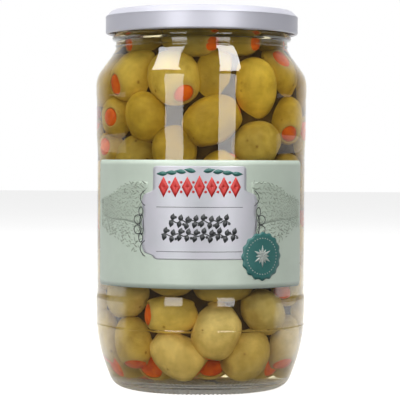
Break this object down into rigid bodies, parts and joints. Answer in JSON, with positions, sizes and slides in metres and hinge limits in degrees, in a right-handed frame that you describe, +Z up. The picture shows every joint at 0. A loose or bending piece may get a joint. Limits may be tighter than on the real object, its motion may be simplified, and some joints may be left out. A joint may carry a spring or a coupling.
{
  "type": "jar of stuffed olives",
  "caption": "Shut round glass jar of green olives stuffed with red pepper, with a twist-off metal lid and a plain pale green front label.",
  "frame": {"origin": "centre of the jar's base, on the surface that it stands on", "axes": "+Z up along the jar's axis, the middle of the label faces -Y"},
  "size_m": [0.0926, 0.0926, 0.165],
  "materials": {
    "clear_glass": "clear soda-lime container glass",
    "painted_tinplate": "silver lacquer, semi-gloss",
    "label_paper": "coated paper, satin, pale mint",
    "olive_flesh": "cured green olive skin, wet"
  },
  "bodies": {
    "root": {"jar_glass": "clear_glass", "lid": "painted_tinplate", "label": "label_paper", "olives": "olive_flesh"}
  },
  "joints": []
}
